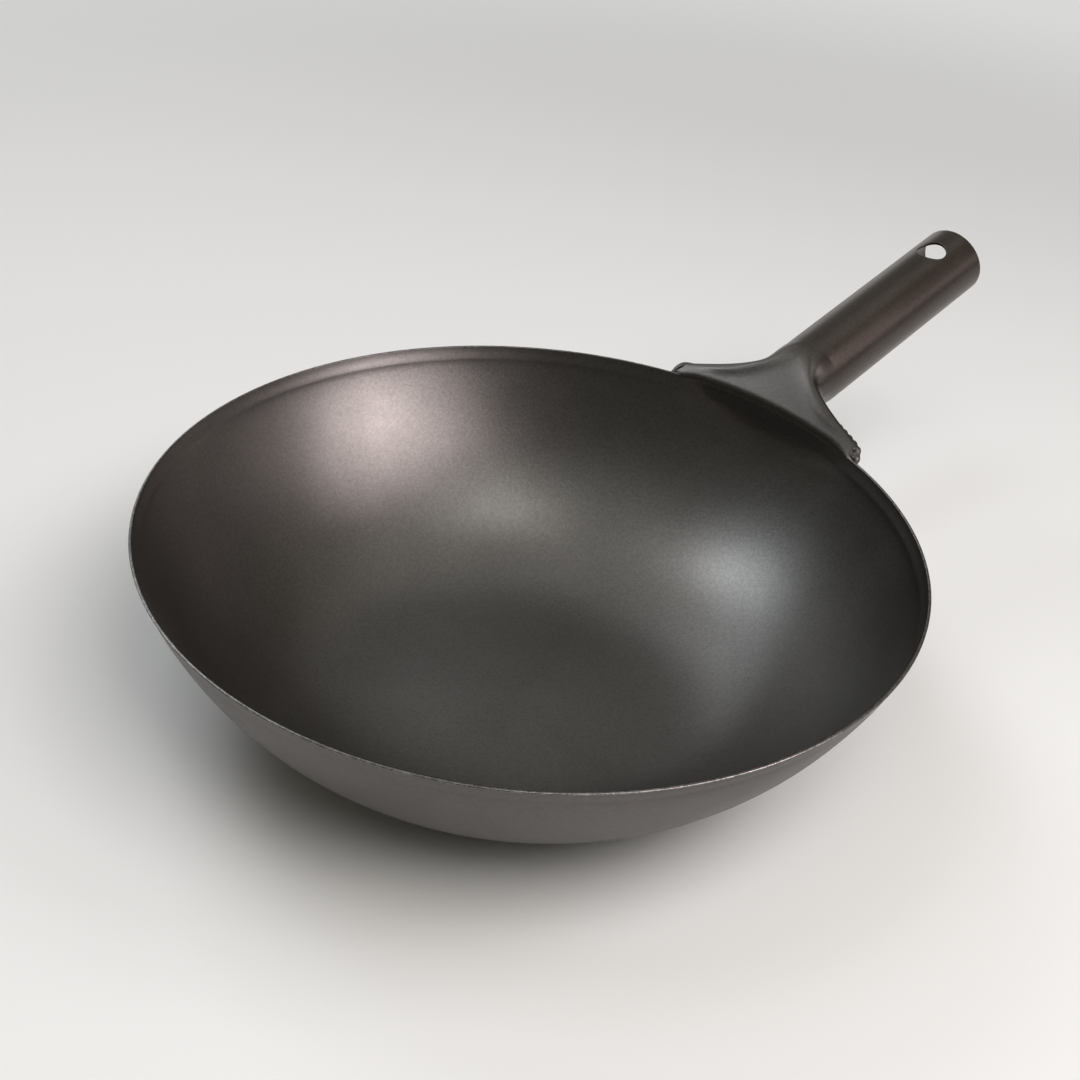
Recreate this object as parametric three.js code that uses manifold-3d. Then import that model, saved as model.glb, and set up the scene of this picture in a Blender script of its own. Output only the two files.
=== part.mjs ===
// A one-handled titanium wok: a pressed bowl with a flat base, and a rolled sheet handle welded to its rim.
// Millimetres and degrees, +Z up. The origin is the middle of the flat base, and the handle points along +X.

import * as THREE from 'three';
import { mergeVertices } from 'three/addons/utils/BufferGeometryUtils.js';
import Module from 'manifold-3d';

// Bowl
const rimRadius = 165;
const bowlHeight = 90;
const baseRadius = 66;
const bowlWall = 1.2;
const heelReach = 46; // pull of the level base on the start of the wall's curve
const wallReach = 31.5; // pull of the steep wall on the end of that curve
const wallAngle = 74; // slope of the wall where the lip starts
const lipHeight = 7;
const lipFlare = 2.4;

// Seat: the wall is hammered flat behind the handle and its edge is drawn up to the handle's plate
const seatSag = 5; // from the rim's circle in to the flat
const seatLean = 1; // outward lean of the flat, off upright
const seatCurve = 420; // radius of the flat's slight curve across
const seatDepth = 20; // below the rim, where drawing up fades out

// Handle
const handleWall = 1.5;
const tubeRadius = 17.5;
const handleLength = 152; // along the tube's axis, from the rim's radius to the end
const handleTilt = 13.2;
const handleRise = 5; // tube's axis above the rim, at the rim's radius
const plateAngle = 46; // slope of the root's plate
const plateBend = 5; // length of the soft bend from the plate to the tube
const toeHalfWidth = 54.5; // where the plate meets the rim
const toeShoulder = 1.2; // drop from the plate to the toe's outer edge
const toeOverhang = 2; // widest part of the toes, past where the plate meets the rim
const flareStart = 9.3; // along the tube's axis, from the rim's radius to where the sides start to spread
const hangHoleRadius = 7.25;
const hangHoleInset = 21; // from the hole's centre to the tube's end

// Welds
const weldGap = 0.3; // clearance between a bead and what it joins
const rimBeadRadius = 0.7;
const rootBeadRadius = 2.4;
const toeBeadRadius = 2.1;
const toeWeldReach = 1.5; // along the tube's axis, from the rim's radius to the toe bead's end
const beadLump = 0.2; // swell of a rough bead, as a share of its radius
const beadPitch = 5.5; // length of one swell
const seamWidth = 2.4;
const seamCrown = 0.4; // how far the seam bead stands proud
const seamStart = 46; // along the tube's axis, from the rim's radius

// Fineness of the solids
const bowlSegments = 96;
const wallSteps = 10;
const lipSteps = 3;
const halfSectionSteps = 18;
const rootSteps = 13;
const beadSides = 8;
const beadSpacing = 2.2;
const holeSides = 32;

// Shape of the root: how quickly its half width grows from the tube, and how that growth starts and stops
const flareSlope = 2.4;
const flareSoftness = 10;
const toeSoftness = 8;

// Half width of the plate's flat between its two ridges: at the rim's radius, and how fast it closes on the tube
const ridgeSpread = 38.5;
const ridgePinch = 10;
const ridgeDecay = 18;
const ridgeMargin = 2; // least width of the rounded side beyond a ridge

const plateCurve = 1.1; // how quickly the round underside flattens from the tube to the toes
const underCurve = 1.3; // 0.5 is round, as on the tube; above 1 the toes thin out

const wasm = await Module();
wasm.setup();
const radians = THREE.MathUtils.degToRad;
const quarterTurn = Math.PI / 2;

// Closed meshes and solids

function mergedGeometry(geometry) {
  geometry.deleteAttribute('normal');
  geometry.deleteAttribute('uv');
  const merged = mergeVertices(geometry);
  const corners = Array.from(merged.index.array);
  const kept = [];
  for (let i = 0; i < corners.length; i += 3) {
    const [a, b, c] = corners.slice(i, i + 3);
    if (a !== b && b !== c && c !== a) kept.push(a, b, c);
  }
  merged.setIndex(kept);
  return merged;
}

function solidOf(geometry) {
  const merged = mergedGeometry(geometry);
  const vertProperties = new Float32Array(merged.attributes.position.array);
  const triVerts = new Uint32Array(merged.index.array);
  return new wasm.Manifold(new wasm.Mesh({ numProp: 3, vertProperties, triVerts }));
}

function geometryOf(solid) {
  const mesh = solid.getMesh();
  const geometry = new THREE.BufferGeometry();
  geometry.setAttribute('position', new THREE.BufferAttribute(mesh.vertProperties, mesh.numProp));
  geometry.setIndex(Array.from(mesh.triVerts));
  return geometry;
}

// Rings run anticlockwise about the way the loft goes, and both ends are capped from their middles
function loft(rings) {
  const count = rings[0].length;
  const points = rings.flat();
  const corners = [];
  for (let ring = 0; ring < rings.length - 1; ring += 1) {
    for (let i = 0; i < count; i += 1) {
      const a = ring * count + i;
      const b = ring * count + ((i + 1) % count);
      corners.push(a, b, b + count, a, b + count, a + count);
    }
  }
  for (const [ring, facesBack] of [[0, true], [rings.length - 1, false]]) {
    const middle = new THREE.Vector3();
    rings[ring].forEach((point) => middle.addScaledVector(point, 1 / count));
    const centre = points.push(middle) - 1;
    for (let i = 0; i < count; i += 1) {
      const a = ring * count + i;
      const b = ring * count + ((i + 1) % count);
      corners.push(centre, facesBack ? b : a, facesBack ? a : b);
    }
  }
  const geometry = new THREE.BufferGeometry().setFromPoints(points);
  geometry.setIndex(corners);
  return geometry;
}

function softMin(a, b, softness) {
  return (a + b - Math.hypot(a - b, softness)) / 2;
}

function softMax(a, b, softness) {
  return (a + b + Math.hypot(a - b, softness)) / 2;
}

// Bowl profile

function outerCurve() {
  const steep = new THREE.Vector2(Math.cos(radians(wallAngle)), Math.sin(radians(wallAngle)));
  const heel = new THREE.Vector2(baseRadius, 0);
  const neck = new THREE.Vector2(rimRadius - lipFlare, bowlHeight - lipHeight);
  const rim = new THREE.Vector2(rimRadius, bowlHeight);
  const heelPull = new THREE.Vector2(baseRadius + heelReach, 0);
  const wallPull = neck.clone().addScaledVector(steep, -wallReach);
  const lipPull = neck.clone().addScaledVector(steep, lipHeight / 2);
  const wall = new THREE.CubicBezierCurve(heel, heelPull, wallPull, neck);
  const lip = new THREE.QuadraticBezierCurve(neck, lipPull, rim);
  return { wall, lip };
}

const { wall: wallCurve, lip: lipCurve } = outerCurve();

// Points of the sheet's outer face from the heel to the rim, moved outward by some distance.
// The rim is cut level, so its corner moves level.
function sheetFace(outward) {
  const face = [];
  const add = (curve, share) => {
    const slope = curve.getTangent(share);
    const outwardNormal = new THREE.Vector2(slope.y, -slope.x);
    face.push(curve.getPoint(share).addScaledVector(outwardNormal, outward));
  };
  for (let i = 0; i <= wallSteps; i += 1) add(wallCurve, i / wallSteps);
  for (let i = 1; i < lipSteps; i += 1) add(lipCurve, i / lipSteps);
  const rimSlope = lipCurve.getTangent(1);
  face.push(new THREE.Vector2(rimRadius + outward / rimSlope.y, bowlHeight));
  return face;
}

// Handle seat

const seatRadius = rimRadius - seatSag;
const toeTipReach = Math.sqrt(rimRadius ** 2 - toeHalfWidth ** 2);
const plateSlope = Math.tan(radians(plateAngle));
const crestHeight = bowlHeight + plateSlope * (seatRadius - toeTipReach);
const rimBeadHeight = 2 * rimBeadRadius + weldGap;

// Moves a point of the round bowl onto the seat; outward is its distance outside the sheet's inner face
function seated(radius, height, angle, outward) {
  const y = radius * Math.sin(angle);
  const lean = Math.tan(radians(seatLean)) * (height - bowlHeight);
  const flat = seatRadius + outward + lean - y ** 2 / (2 * seatCurve);
  const x = Math.min(radius * Math.cos(angle), flat);
  const rise = Math.max(0, plateSlope * (x - outward - toeTipReach) - rimBeadHeight);
  const drawn = THREE.MathUtils.clamp(1 + (height - bowlHeight) / seatDepth, 0, 1);
  return new THREE.Vector3(x, y, height + rise * drawn ** 2);
}

// Turns a profile round the axis and seats it; each profile point carries its distance outside the inner face
function turned(profile) {
  const outline = profile.map(({ point }) => point);
  const geometry = new THREE.LatheGeometry(outline, bowlSegments);
  const position = geometry.attributes.position;
  for (let i = 0; i < position.count; i += 1) {
    const { point, outward } = profile[i % profile.length];
    const angle = (Math.floor(i / profile.length) / bowlSegments) * 2 * Math.PI;
    const place = seated(point.x, point.y, angle, outward);
    position.setXYZ(i, place.x, place.y, place.z);
  }
  return mergedGeometry(geometry);
}

// The bowl's sheet, thicker by a margin on every side
function bowlSheet(margin) {
  const layer = (face, outward) => {
    const points = sheetFace(face);
    points[points.length - 1].y += margin;
    return points.map((point) => ({ point, outward }));
  };
  const outside = layer(margin, bowlWall + margin);
  const inside = layer(-bowlWall - margin, -margin);
  const foot = { point: new THREE.Vector2(0, -margin), outward: bowlWall + margin };
  const floor = { point: new THREE.Vector2(0, bowlWall + margin), outward: -margin };
  return turned([foot, ...outside, ...inside.reverse(), floor]);
}

// Everything inside the bowl's outer face, carried straight up past the handle, and wider by a margin
function bowlSpace(margin) {
  const outward = bowlWall + margin;
  const outside = sheetFace(margin).map((point) => ({ point, outward }));
  const rim = outside[outside.length - 1].point;
  const ceiling = crestHeight + 4 * tubeRadius;
  const foot = { point: new THREE.Vector2(0, -margin), outward };
  const brow = { point: new THREE.Vector2(rim.x, ceiling), outward };
  const top = { point: new THREE.Vector2(0, ceiling), outward };
  return solidOf(turned([foot, ...outside, brow, top]));
}

// Handle

const handleAxis = new THREE.Vector3(Math.cos(radians(handleTilt)), 0, Math.sin(radians(handleTilt)));
const handleUp = new THREE.Vector3(-handleAxis.z, 0, handleAxis.x);
const handleSide = new THREE.Vector3(0, 1, 0);
const handleOrigin = new THREE.Vector3(rimRadius, 0, bowlHeight + handleRise);

function handlePoint(along, across, up) {
  const place = handleOrigin.clone().addScaledVector(handleAxis, along);
  return place.addScaledVector(handleSide, across).addScaledVector(handleUp, up);
}

function handleCoordinates(place) {
  const offset = place.clone().sub(handleOrigin);
  return { along: offset.dot(handleAxis), across: offset.y, up: offset.dot(handleUp) };
}

const crest = handleCoordinates(new THREE.Vector3(seatRadius, 0, crestHeight));
const toeTip = handleCoordinates(new THREE.Vector3(toeTipReach, toeHalfWidth, bowlHeight));
const plateClimb = Math.tan(radians(plateAngle - handleTilt));
const plateEnd = crest.along + (tubeRadius - crest.up) / plateClimb;
const rootEnd = plateEnd + plateBend;
const rootStart = toeTip.along - plateBend;

// Share of the way from where the root starts (0) to where it ends (1), at a place along the handle
function flare(along, start, end) {
  return Math.max(0, (start - along) / (start - end));
}

function plateHeight(along) {
  if (along >= rootEnd) return tubeRadius;
  return softMin(tubeRadius, crest.up + plateClimb * (along - crest.along), plateBend / 2);
}

function sideHeight(along) {
  if (along >= rootEnd) return 0;
  return softMin(0, plateHeight(along) - toeShoulder, plateBend / 4);
}

function rootHalfWidth(along) {
  const spread = softMax(0, flareSlope * (flareStart - along), flareSoftness);
  const fade = 1 - THREE.MathUtils.smoothstep(along, flareStart, rootEnd);
  return softMin(tubeRadius + spread * fade, toeHalfWidth + toeOverhang, toeSoftness * fade);
}

function ridgeHalfWidth(along, half) {
  const spread = ridgeSpread * Math.exp(-along / ridgeDecay) - ridgePinch;
  return THREE.MathUtils.clamp(spread, 0, half - ridgeMargin);
}

// How much of the flattened root a place along the handle has, from none on the tube to all at the crest
function plateShare(along) {
  return Math.min(1, flare(along, rootEnd, crest.along) ** plateCurve);
}

// Depth of the underside below the sides, as a share of its depth under the middle
function underDepth(along, reach) {
  const roundness = 0.5;
  const power = THREE.MathUtils.lerp(roundness, underCurve, plateShare(along));
  return Math.max(0, 1 - reach ** 2) ** power;
}

function steepness(shape, along) {
  const step = plateBend / 10;
  return Math.hypot(1, (shape(along + step) - shape(along - step)) / (2 * step));
}

// Half outline of the handle across its axis, from the top (0) by the side (0.5) to the bottom (1)
function halfSection(along, share, inward) {
  const top = plateHeight(along) - inward * steepness(plateHeight, along);
  const half = rootHalfWidth(along) - inward * steepness(rootHalfWidth, along);
  const middle = Math.min(sideHeight(along), top - toeShoulder / 2);
  const bottom = -(tubeRadius - inward);
  if (share < 0.5) {
    const turn = 2 * share;
    const ridge = ridgeHalfWidth(along, half);
    const across = ridge * turn + (half - ridge) * Math.sin(turn * quarterTurn);
    const roll = Math.max(0, (across - ridge) / (half - ridge));
    return { across, up: middle + (top - middle) * Math.sqrt(1 - roll ** 2) };
  }
  const turn = 2 * share - 1;
  const reach = Math.cos(turn * quarterTurn);
  return { across: half * reach, up: middle + (bottom - middle) * underDepth(along, reach) };
}

function handleRing(along, inward) {
  const ring = [];
  for (let i = 0; i < 2 * halfSectionSteps; i += 1) {
    const onRight = i <= halfSectionSteps;
    const share = (onRight ? i : 2 * halfSectionSteps - i) / halfSectionSteps;
    const { across, up } = halfSection(along, share, inward);
    ring.push(handlePoint(along, onRight ? -across : across, up));
  }
  return ring;
}

// The handle's outline as a solid, smaller by a distance and run past both ends by another
function handleSolid(inward, overrun) {
  const rings = [handleRing(rootStart - overrun, inward)];
  for (let i = 1; i <= rootSteps; i += 1) {
    const along = THREE.MathUtils.lerp(rootStart, rootEnd, i / rootSteps);
    rings.push(handleRing(along, inward));
  }
  rings.push(handleRing(handleLength + overrun, inward));
  return solidOf(loft(rings));
}

const hangHoleAlong = handleLength - hangHoleInset;

function hangHole() {
  const depth = 4 * tubeRadius;
  const drill = new THREE.CylinderGeometry(hangHoleRadius, hangHoleRadius, depth, holeSides);
  const turn = new THREE.Quaternion().setFromUnitVectors(new THREE.Vector3(0, 1, 0), handleUp);
  drill.applyQuaternion(turn);
  const centre = handlePoint(hangHoleAlong, 0, 0);
  drill.translate(centre.x, centre.y, centre.z);
  return solidOf(drill);
}

// A bar along the tube's underside, between two places on its axis
function undersideBar(start, end, width, bottom, top) {
  const bar = new THREE.BoxGeometry(end - start, width, top - bottom);
  bar.rotateY(-radians(handleTilt));
  const centre = handlePoint((start + end) / 2, 0, (bottom + top) / 2);
  bar.translate(centre.x, centre.y, centre.z);
  return bar;
}

const tubeBore = tubeRadius - handleWall;

function handleShellGeometry(space) {
  const overrun = handleWall;
  const seamSlot = undersideBar(seamStart, handleLength + overrun, seamWidth, -tubeRadius - overrun, 0);
  const shell = handleSolid(0, 0).subtract(handleSolid(handleWall, overrun));
  const trimmed = shell.subtract(space).subtract(hangHole()).subtract(solidOf(seamSlot));
  return geometryOf(trimmed);
}

// Welds

function beadRing(centre, forward, outward, radius) {
  const across = outward.clone().addScaledVector(forward, -outward.dot(forward)).normalize();
  const over = forward.clone().cross(across);
  const ring = [];
  for (let i = 0; i < beadSides; i += 1) {
    const turn = (i / beadSides) * 2 * Math.PI;
    const place = centre.clone().addScaledVector(across, radius * Math.cos(turn));
    ring.push(place.addScaledVector(over, radius * Math.sin(turn)));
  }
  return ring;
}

// A bead along points, whose radius may swell along its length
function bead(path, radiusAt) {
  let travelled = 0;
  const rings = path.map((place, i) => {
    const before = path[Math.max(0, i - 1)];
    const after = path[Math.min(path.length - 1, i + 1)];
    travelled += place.distanceTo(before);
    const forward = after.clone().sub(before).normalize();
    const outward = new THREE.Vector3(place.x, place.y, 0).normalize();
    return beadRing(place, forward, outward, radiusAt(travelled));
  });
  return loft(rings);
}

const toeTipAngle = Math.atan2(toeHalfWidth, toeTipReach);

function anglesBetween(start, end) {
  const count = Math.ceil((Math.abs(end - start) * rimRadius) / beadSpacing);
  return Array.from({ length: count + 1 }, (_, i) => THREE.MathUtils.lerp(start, end, i / count));
}

// The bead on the bowl's drawn-up edge, level with the handle's plate and no wider outward than the bowl
function rimWeldGeometry() {
  const rimSlope = lipCurve.getTangent(1);
  const middleRadius = rimRadius - bowlWall / rimSlope.y / 2;
  const path = anglesBetween(-toeTipAngle, toeTipAngle).map((angle) => {
    const edge = seated(middleRadius, bowlHeight, angle, bowlWall / 2);
    edge.z += weldGap + rimBeadRadius;
    return edge;
  });
  const rough = solidOf(bead(path, () => rimBeadRadius));
  return geometryOf(rough.subtract(solidOf(bowlSheet(weldGap))).intersect(bowlSpace(0)));
}

function outerRadiusAt(height) {
  const face = sheetFace(0);
  const above = face.findIndex((point) => point.y >= height);
  const low = face[Math.max(0, above - 1)];
  const high = face[Math.max(0, above)];
  const share = high.y > low.y ? (height - low.y) / (high.y - low.y) : 0;
  return THREE.MathUtils.lerp(low.x, high.x, share);
}

// How far a point lies above the underside of the handle's root; beyond the toes it counts as far below
function heightOverUnderside(place) {
  const { along, across, up } = handleCoordinates(place);
  const reach = Math.abs(across) / rootHalfWidth(along);
  if (reach >= 1) return -tubeRadius;
  const middle = sideHeight(along);
  return up - (middle - (middle + tubeRadius) * underDepth(along, reach));
}

// Where the root's underside meets the bowl's outer wall, at an angle round the bowl
function rootCorner(angle) {
  const place = (height) => seated(outerRadiusAt(height), height, angle, bowlWall);
  let low = bowlHeight - 3 * tubeRadius;
  let high = bowlHeight;
  const halvings = 30;
  for (let i = 0; i < halvings; i += 1) {
    const middle = (low + high) / 2;
    if (heightOverUnderside(place(middle)) > 0) high = middle;
    else low = middle;
  }
  return place(high);
}

function roughBeadGeometry(path, radius, bowlBlock, handleBlock) {
  const swell = (travelled) => 1 + beadLump * Math.sin((2 * Math.PI * travelled) / beadPitch);
  const rough = solidOf(bead(path, (travelled) => radius * swell(travelled)));
  return geometryOf(rough.subtract(bowlBlock).subtract(handleBlock));
}

// Points along a toe's outer edge, from its tip towards the tube
function toeEdge(side) {
  const count = Math.ceil((toeHalfWidth - rootHalfWidth(toeWeldReach)) / beadSpacing);
  return Array.from({ length: count + 1 }, (_, i) => {
    const along = THREE.MathUtils.lerp(toeTip.along, toeWeldReach, i / count);
    return handlePoint(along, side * rootHalfWidth(along), sideHeight(along));
  });
}

function toeWeldGeometry(side, bowlBlock, handleBlock) {
  return roughBeadGeometry(toeEdge(side), toeBeadRadius, bowlBlock, handleBlock);
}

// The bead in the corner under the root, which stops clear of the toe beads at both ends
function rootWeldGeometry(bowlBlock, handleBlock) {
  const clearance = (toeBeadRadius + rootBeadRadius) * (1 + beadLump) + weldGap;
  const edge = toeEdge(1);
  const isClear = (angle) => edge.every((place) => place.distanceTo(rootCorner(angle)) > clearance);
  const end = anglesBetween(0, toeTipAngle).findLast(isClear);
  const path = anglesBetween(-end, end).map(rootCorner);
  return roughBeadGeometry(path, rootBeadRadius, bowlBlock, handleBlock);
}

function seamGeometry(start, end) {
  const width = seamWidth - 2 * weldGap;
  return undersideBar(start, end, width, -tubeRadius - seamCrown, -tubeBore + seamCrown);
}

// Assembly

const blasted = { color: 0x4b4744, roughness: 0.55, metalness: 1 };
const brownOxide = { color: 0x4e4541, roughness: 0.5, metalness: 1 };
const weldMetal = { color: 0x3f3b39, roughness: 0.6, metalness: 1 };

const wok = new THREE.Group();

function addPiece(name, geometry, finish) {
  const piece = new THREE.Mesh(geometry, new THREE.MeshStandardMaterial(finish));
  piece.name = name;
  wok.add(piece);
}

const space = bowlSpace(weldGap);
const handleBlock = handleSolid(-weldGap, 0);

addPiece('bowl', bowlSheet(0), blasted);
addPiece('handle_shell', handleShellGeometry(space), brownOxide);
addPiece('rim_weld', rimWeldGeometry(), blasted);
addPiece('left_toe_weld', toeWeldGeometry(1, space, handleBlock), weldMetal);
addPiece('right_toe_weld', toeWeldGeometry(-1, space, handleBlock), weldMetal);
addPiece('root_weld', rootWeldGeometry(space, handleBlock), weldMetal);
const seamHoleGap = hangHoleRadius + weldGap;
addPiece('seam_weld', seamGeometry(seamStart + weldGap, hangHoleAlong - seamHoleGap), weldMetal);
addPiece('seam_end_weld', seamGeometry(hangHoleAlong + seamHoleGap, handleLength), weldMetal);

export default wok;
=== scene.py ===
import math

import bmesh
import bpy
import numpy as np
from mathutils import Matrix, Vector, noise


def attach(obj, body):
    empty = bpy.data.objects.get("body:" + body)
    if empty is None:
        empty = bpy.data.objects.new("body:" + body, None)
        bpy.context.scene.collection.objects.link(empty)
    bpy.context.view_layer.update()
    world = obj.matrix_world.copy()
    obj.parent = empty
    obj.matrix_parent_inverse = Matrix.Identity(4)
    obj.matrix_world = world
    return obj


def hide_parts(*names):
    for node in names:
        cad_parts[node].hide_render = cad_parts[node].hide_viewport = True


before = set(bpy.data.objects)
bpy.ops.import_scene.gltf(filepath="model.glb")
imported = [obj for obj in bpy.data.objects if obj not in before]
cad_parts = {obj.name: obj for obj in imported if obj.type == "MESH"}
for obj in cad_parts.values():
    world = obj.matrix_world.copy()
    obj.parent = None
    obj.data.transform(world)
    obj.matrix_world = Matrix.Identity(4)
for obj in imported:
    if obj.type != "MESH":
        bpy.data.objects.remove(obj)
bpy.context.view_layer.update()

# Sizes of the wok are in millimetres and degrees
MM = 0.001
LEFT, RIGHT = 1, -1

# Bowl, from its base to its rim
RIM_RADIUS = 165.0
BOWL_HEIGHT = 90.0
BASE_RADIUS = 66.0
BOWL_WALL = 1.2
HEEL_REACH = 46.0
HEEL_SOFTNESS = 18.0
WALL_REACH = 31.5
WALL_ANGLE = 74.0
LIP_HEIGHT = 7.0
LIP_FLARE = 2.4
LIP_PULL = 1.5
RIM_PULL = 2.5
EDGE_ROUND = 0.5

# Groove below the bowl's lip, and the lower crease it turns into behind the handle
GROOVE_DEPTH = 0.28
GROOVE_HEIGHT = 83.5
GROOVE_WIDTH = 3.2
CREASE_DEPTH = 0.12
CREASE_DROP = 8.5

# Seat, where the bowl's wall is hammered flat and drawn up to the handle
SEAT_SAG = 5.0
SEAT_LEAN = 7.0
SEAT_CURVE = 420.0
SEAT_DEPTH = 20.0
SEAT_HALF_WIDTH = 57.0
SEAT_SOFTNESS = 0.7
CREST_SOFTNESS = 0.8
CREST_SINK = 1.9

# Handle's tube
HANDLE_WALL = 1.5
TUBE_RADIUS = 17.5
HANDLE_LENGTH = 152.0
HANDLE_TILT = 13.2
HANDLE_RISE = 5.0
HOLE_RADIUS = 7.25
HOLE_INSET = 21.0
END_ROUND = 0.45

# Handle's root: a sloping plate that flares from the tube to two toes
PLATE_ANGLE = 46.0
PLATE_BEND = 5.0
TOE_HALF_WIDTH = 54.5
TOE_SHOULDER = 0.5
TOE_OVERHANG = 2.0
TOE_SOFTNESS = 8.0
FLARE_START = 11.5
FLARE_SLOPE = 2.4
FLARE_SOFTNESS = 6.0
TUBE_LEAD = 12.0
ROUND_START = 0.0
ROUND_END = 30.0
ROUND_CURVE = 0.5
UNDER_CURVE = 1.3
ROOT_BITE = 0.15

# Two raised ridges on the plate, from the tube to the toes
RIDGE_SPREAD = 38.5
RIDGE_DECAY = 18.0
RIDGE_PINCH = 8.0
RIDGE_MARGIN = 2.0
FOLD_START = 6.0
FOLD_END = 26.0
FOLD_RAISE = 0.5
FOLD_WIDTH = 6.0

# Bead along the crest
RIM_BEAD_LIFT = 0.03
RIM_BEAD_REACHES = (2.0, 2.6, 3.3, 4.2)
RIM_BEAD_SPREAD = 0.35

# Beads round the toes
TOE_BEAD_RADIUS = 2.0
TOE_BEAD_SINK = 1.7
TOE_BEAD_INSET = 0.7
TOE_WELD_REACH = 7.0
TOE_BEAD_RUN = {LEFT: 12.0, RIGHT: 3.0}
TOE_LUMP = {LEFT: 14.0, RIGHT: 4.5}
TOE_LUMP_LEAST = 0.88
TOE_LUMP_GAIN = 0.24
TOE_BEAD_END = 6.0
TOE_BEAD_WOBBLE = 0.06

# Bead under the root
ROOT_BEAD_RADIUS = 2.4
ROOT_BEAD_RIPPLE = 0.07
ROOT_BEAD_PACE = 1.1
ROOT_BEAD_END = 4.0
ROOT_BEAD_WOBBLE = 0.25

# Beads of the tube's seam
SEAM_BEAD_RADIUS = 1.08
SEAM_BEAD_SINK = 0.55
SEAM_BEAD_RIPPLE = 0.08
SEAM_BEAD_PACE = 1.9
SEAM_BEAD_END = 1.5
SEAM_BEAD_WOBBLE = 0.1
SEAM_START = 46.0
SEAM_HOLE_GAP = 1.0
SEAM_END_GAP = 0.4

# All beads: how deep they sit in the bowl, how blunt they end, and the size of their wobbles
BEAD_BITE = 0.3
BEAD_END_LEAST = 0.02
WOBBLES_PER_MM = 0.2

# Fineness of the meshes
PATH_STEP = 0.5
ROW_STEP = 3.0
WALL_STEPS = 400
LIP_STEPS = 14
EDGE_STEPS = 7
BOWL_SEGMENTS = 360
HALF_COLUMNS = 48
COLUMNS = 2 * HALF_COLUMNS
ROOT_ROWS = 70
ROOT_CROWDING = 1.15
PATCH_COLUMNS = 10
PATCH_RINGS = 9
TUBE_ROWS = 40
TUBE_END_ROWS = 10
END_STEPS = 5
RIM_BEAD_STEPS = 161
RIM_BEAD_WALL_ROWS = slice(-13, -4)
RIM_BEAD_ARC_STEPS = 8
TOE_EDGE_STEPS = 120
TOE_RUN_STEPS = 40
TOE_BEAD_STEPS = 120
ROOT_BEAD_STEPS = 260
SEAM_STEPS_PER_MM = 3
TOE_BEAD_SIDES = 28
ROOT_BEAD_SIDES = 20
SEAM_BEAD_SIDES = 16
MERGE_DISTANCE = 0.002

# Angles above which a mesh shows an edge
SHEET_SHARP = 35.0
BOWL_SHARP = 60.0
BEAD_SHARP = 80.0


# Helpers for numbers and paths

def soft_min(a, b, softness):
    return (a + b - np.hypot(a - b, softness)) / 2


def soft_max(a, b, softness):
    return (a + b + np.hypot(a - b, softness)) / 2


def smooth_step(value):
    value = np.clip(value, 0, 1)
    return value * value * (3 - 2 * value)


def travelled_along(points):
    """How far along a path each of its points is."""
    steps = np.linalg.norm(np.diff(points, axis=0), axis=1)
    return np.concatenate([[0], np.cumsum(steps)])


def evenly(points, count):
    """The same path with a number of evenly spaced points."""
    points = np.asarray(points)
    length = travelled_along(points)
    even = np.linspace(0, length[-1], count)
    return np.stack([np.interp(even, length, column) for column in points.T], 1)


def even_path(points, step):
    """The same path with points at an even spacing."""
    return evenly(points, int(travelled_along(points)[-1] / step) + 1)


def rolled_edge(outer, inner, rounding, steps):
    """Places over a sheet's rounded edge, outer face first, and how far back from the edge each is."""
    turn = np.linspace(0, math.pi / 2, steps)
    side = rounding * (1 - np.cos(turn))
    back = rounding * (1 - np.sin(turn))
    return np.concatenate([outer - side, inner + side[::-1]]), np.concatenate([back, back[::-1]])


# Meshes

PIECES = []


def grid_faces(rows, columns, close_columns):
    faces = []
    for row in range(rows - 1):
        for column in range(columns if close_columns else columns - 1):
            a = row * columns + column
            b = row * columns + (column + 1) % columns
            faces.append((a, b, b + columns, a + columns))
    return faces


def ring_part(rings):
    """Rows of closed rings as points and faces."""
    rings = np.asarray(rings)
    return rings, grid_faces(len(rings), rings.shape[1], True)


def joined(parts):
    """One list of points and faces from several."""
    points = []
    faces = []
    start = 0
    for part_points, part_faces in parts:
        part_points = np.asarray(part_points).reshape(-1, 3)
        points.append(part_points)
        faces += [tuple(i + start for i in face) for face in part_faces]
        start += len(part_points)
    return np.vstack(points), faces


def merge_doubles(mesh):
    work = bmesh.new()
    work.from_mesh(mesh)
    bmesh.ops.remove_doubles(work, verts=work.verts, dist=MERGE_DISTANCE * MM)
    bmesh.ops.recalc_face_normals(work, faces=work.faces)
    work.to_mesh(mesh)
    work.free()


def add_piece(name, points, faces, node, slot, materials, merge=True, material_index=None, sharp=SHEET_SHARP):
    mesh = bpy.data.meshes.new(name)
    mesh.from_pydata((np.asarray(points) * MM).tolist(), [], faces)
    for material in materials:
        mesh.materials.append(material)
    if material_index is not None:
        mesh.polygons.foreach_set("material_index", np.asarray(material_index, dtype=np.int32))
    if merge:
        merge_doubles(mesh)
    mesh.polygons.foreach_set("use_smooth", np.ones(len(mesh.polygons), dtype=bool))
    mesh.set_sharp_from_angle(angle=math.radians(sharp))
    mesh.update()
    piece = bpy.data.objects.new(name, mesh)
    bpy.context.collection.objects.link(piece)
    PIECES.append(piece)
    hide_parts(node)
    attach(piece, "root")


# Bowl: the radius and height of its outer face, with the outward normal

STEEP = np.array([math.cos(math.radians(WALL_ANGLE)), math.sin(math.radians(WALL_ANGLE))])
NECK = np.array([RIM_RADIUS - LIP_FLARE, BOWL_HEIGHT - LIP_HEIGHT])
RIM = np.array([RIM_RADIUS, BOWL_HEIGHT])


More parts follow.
